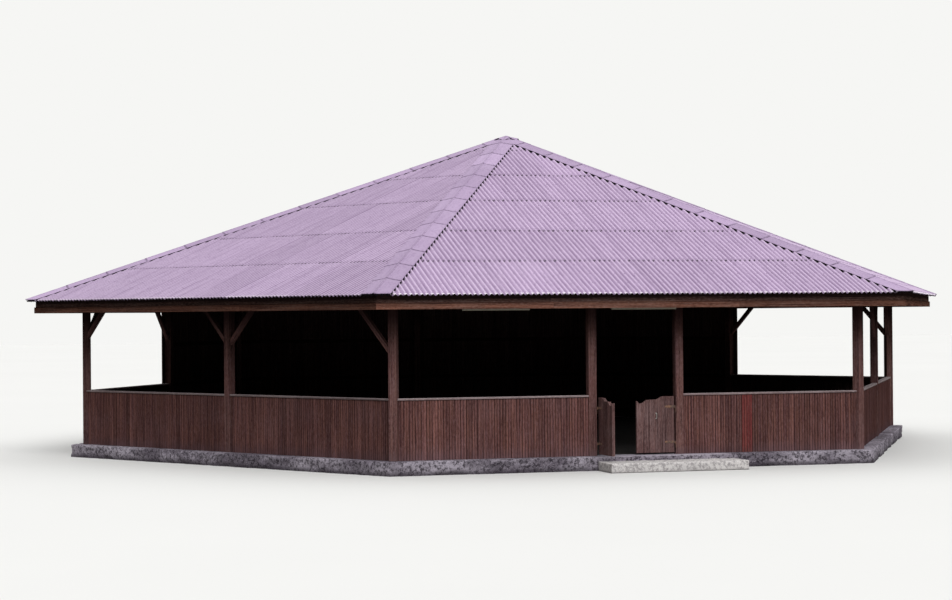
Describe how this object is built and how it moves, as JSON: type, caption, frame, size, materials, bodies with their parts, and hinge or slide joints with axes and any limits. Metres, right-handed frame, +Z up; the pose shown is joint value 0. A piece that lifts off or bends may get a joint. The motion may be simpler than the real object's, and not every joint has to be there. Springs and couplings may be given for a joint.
{
  "type": "timber bandstand",
  "caption": "Six-sided open timber pavilion with boarded parapets, low double gates and a shallow corrugated roof.",
  "frame": {"origin": "on the ground under the middle of the roof", "axes": "+Z up, the front wall with the gates faces -Y, two corners lie on the X axis"},
  "size_m": [20.2016, 17.495, 6.5931],
  "materials": {
    "concrete": "rough weathered concrete",
    "floor_concrete": "smooth worn concrete",
    "post_timber": "planed posts with worn brown stain",
    "board_timber": "upright boards with dark brown stain",
    "rail_timber": "planed rails with worn brown stain",
    "frame_timber": "sawn framing with dark stain",
    "roof_sheet": "faded corrugated roofing",
    "roof_cap": "faded folded ridge pieces",
    "fascia_timber": "stained fascia with worn paint",
    "lamp": "pale lamp cover",
    "iron": "rusty wrought hinge iron",
    "handle_steel": "dull steel"
  },
  "bodies": {
    "root": {"plinth": "concrete", "floor_slab": "floor_concrete", "entrance_step": "concrete", "corner_posts": "post_timber", "mid_posts": "post_timber", "door_posts": "post_timber", "parapet_left_rear": "board_timber", "parapet_left_front": "board_timber", "parapet_front_left": "board_timber", "parapet_front_right": "board_timber", "parapet_right_front": "board_timber", "parapet_right_rear": "board_timber", "parapet_far_right": "board_timber", "parapet_far_left": "board_timber", "parapet_rails": "rail_timber", "parapet_girts": "frame_timber", "back_wall_right": "board_timber", "back_wall_mid_right": "board_timber", "back_wall_mid_left": "board_timber", "back_wall_left": "board_timber", "back_wall_girts": "frame_timber", "ring_beams": "frame_timber", "knee_braces": "post_timber", "hip_rafters": "frame_timber", "king_block": "frame_timber", "jack_rafters": "frame_timber", "roof_battens": "frame_timber", "roof_front": "roof_sheet", "roof_right": "roof_sheet", "roof_far_right": "roof_sheet", "roof_back": "roof_sheet", "roof_far_left": "roof_sheet", "roof_left": "roof_sheet", "hip_caps": "roof_cap", "peak_cap": "roof_cap", "fascia_boards": "fascia_timber", "eave_boards": "frame_timber", "strip_lights": "lamp", "gate_pintles": "iron"},
    "gate_left": {"gate_left_boards": "board_timber", "gate_left_ledges": "frame_timber", "gate_left_straps": "iron"},
    "gate_right": {"gate_right_boards": "board_timber", "gate_right_ledges": "frame_timber", "gate_right_straps": "iron", "gate_handle": "handle_steel"}
  },
  "joints": [
    {"name": "gate_left_hinge", "type": "hinge", "parent": "root", "child": "gate_left", "pos_m": [-0.693, -7.74209, 0.795], "axis": [0, 0, 1], "range_deg": [-20, 90]},
    {"name": "gate_right_hinge", "type": "hinge", "parent": "root", "child": "gate_right", "pos_m": [0.783, -7.74209, 0.795], "axis": [0, 0, 1], "range_deg": [0, 110]}
  ]
}
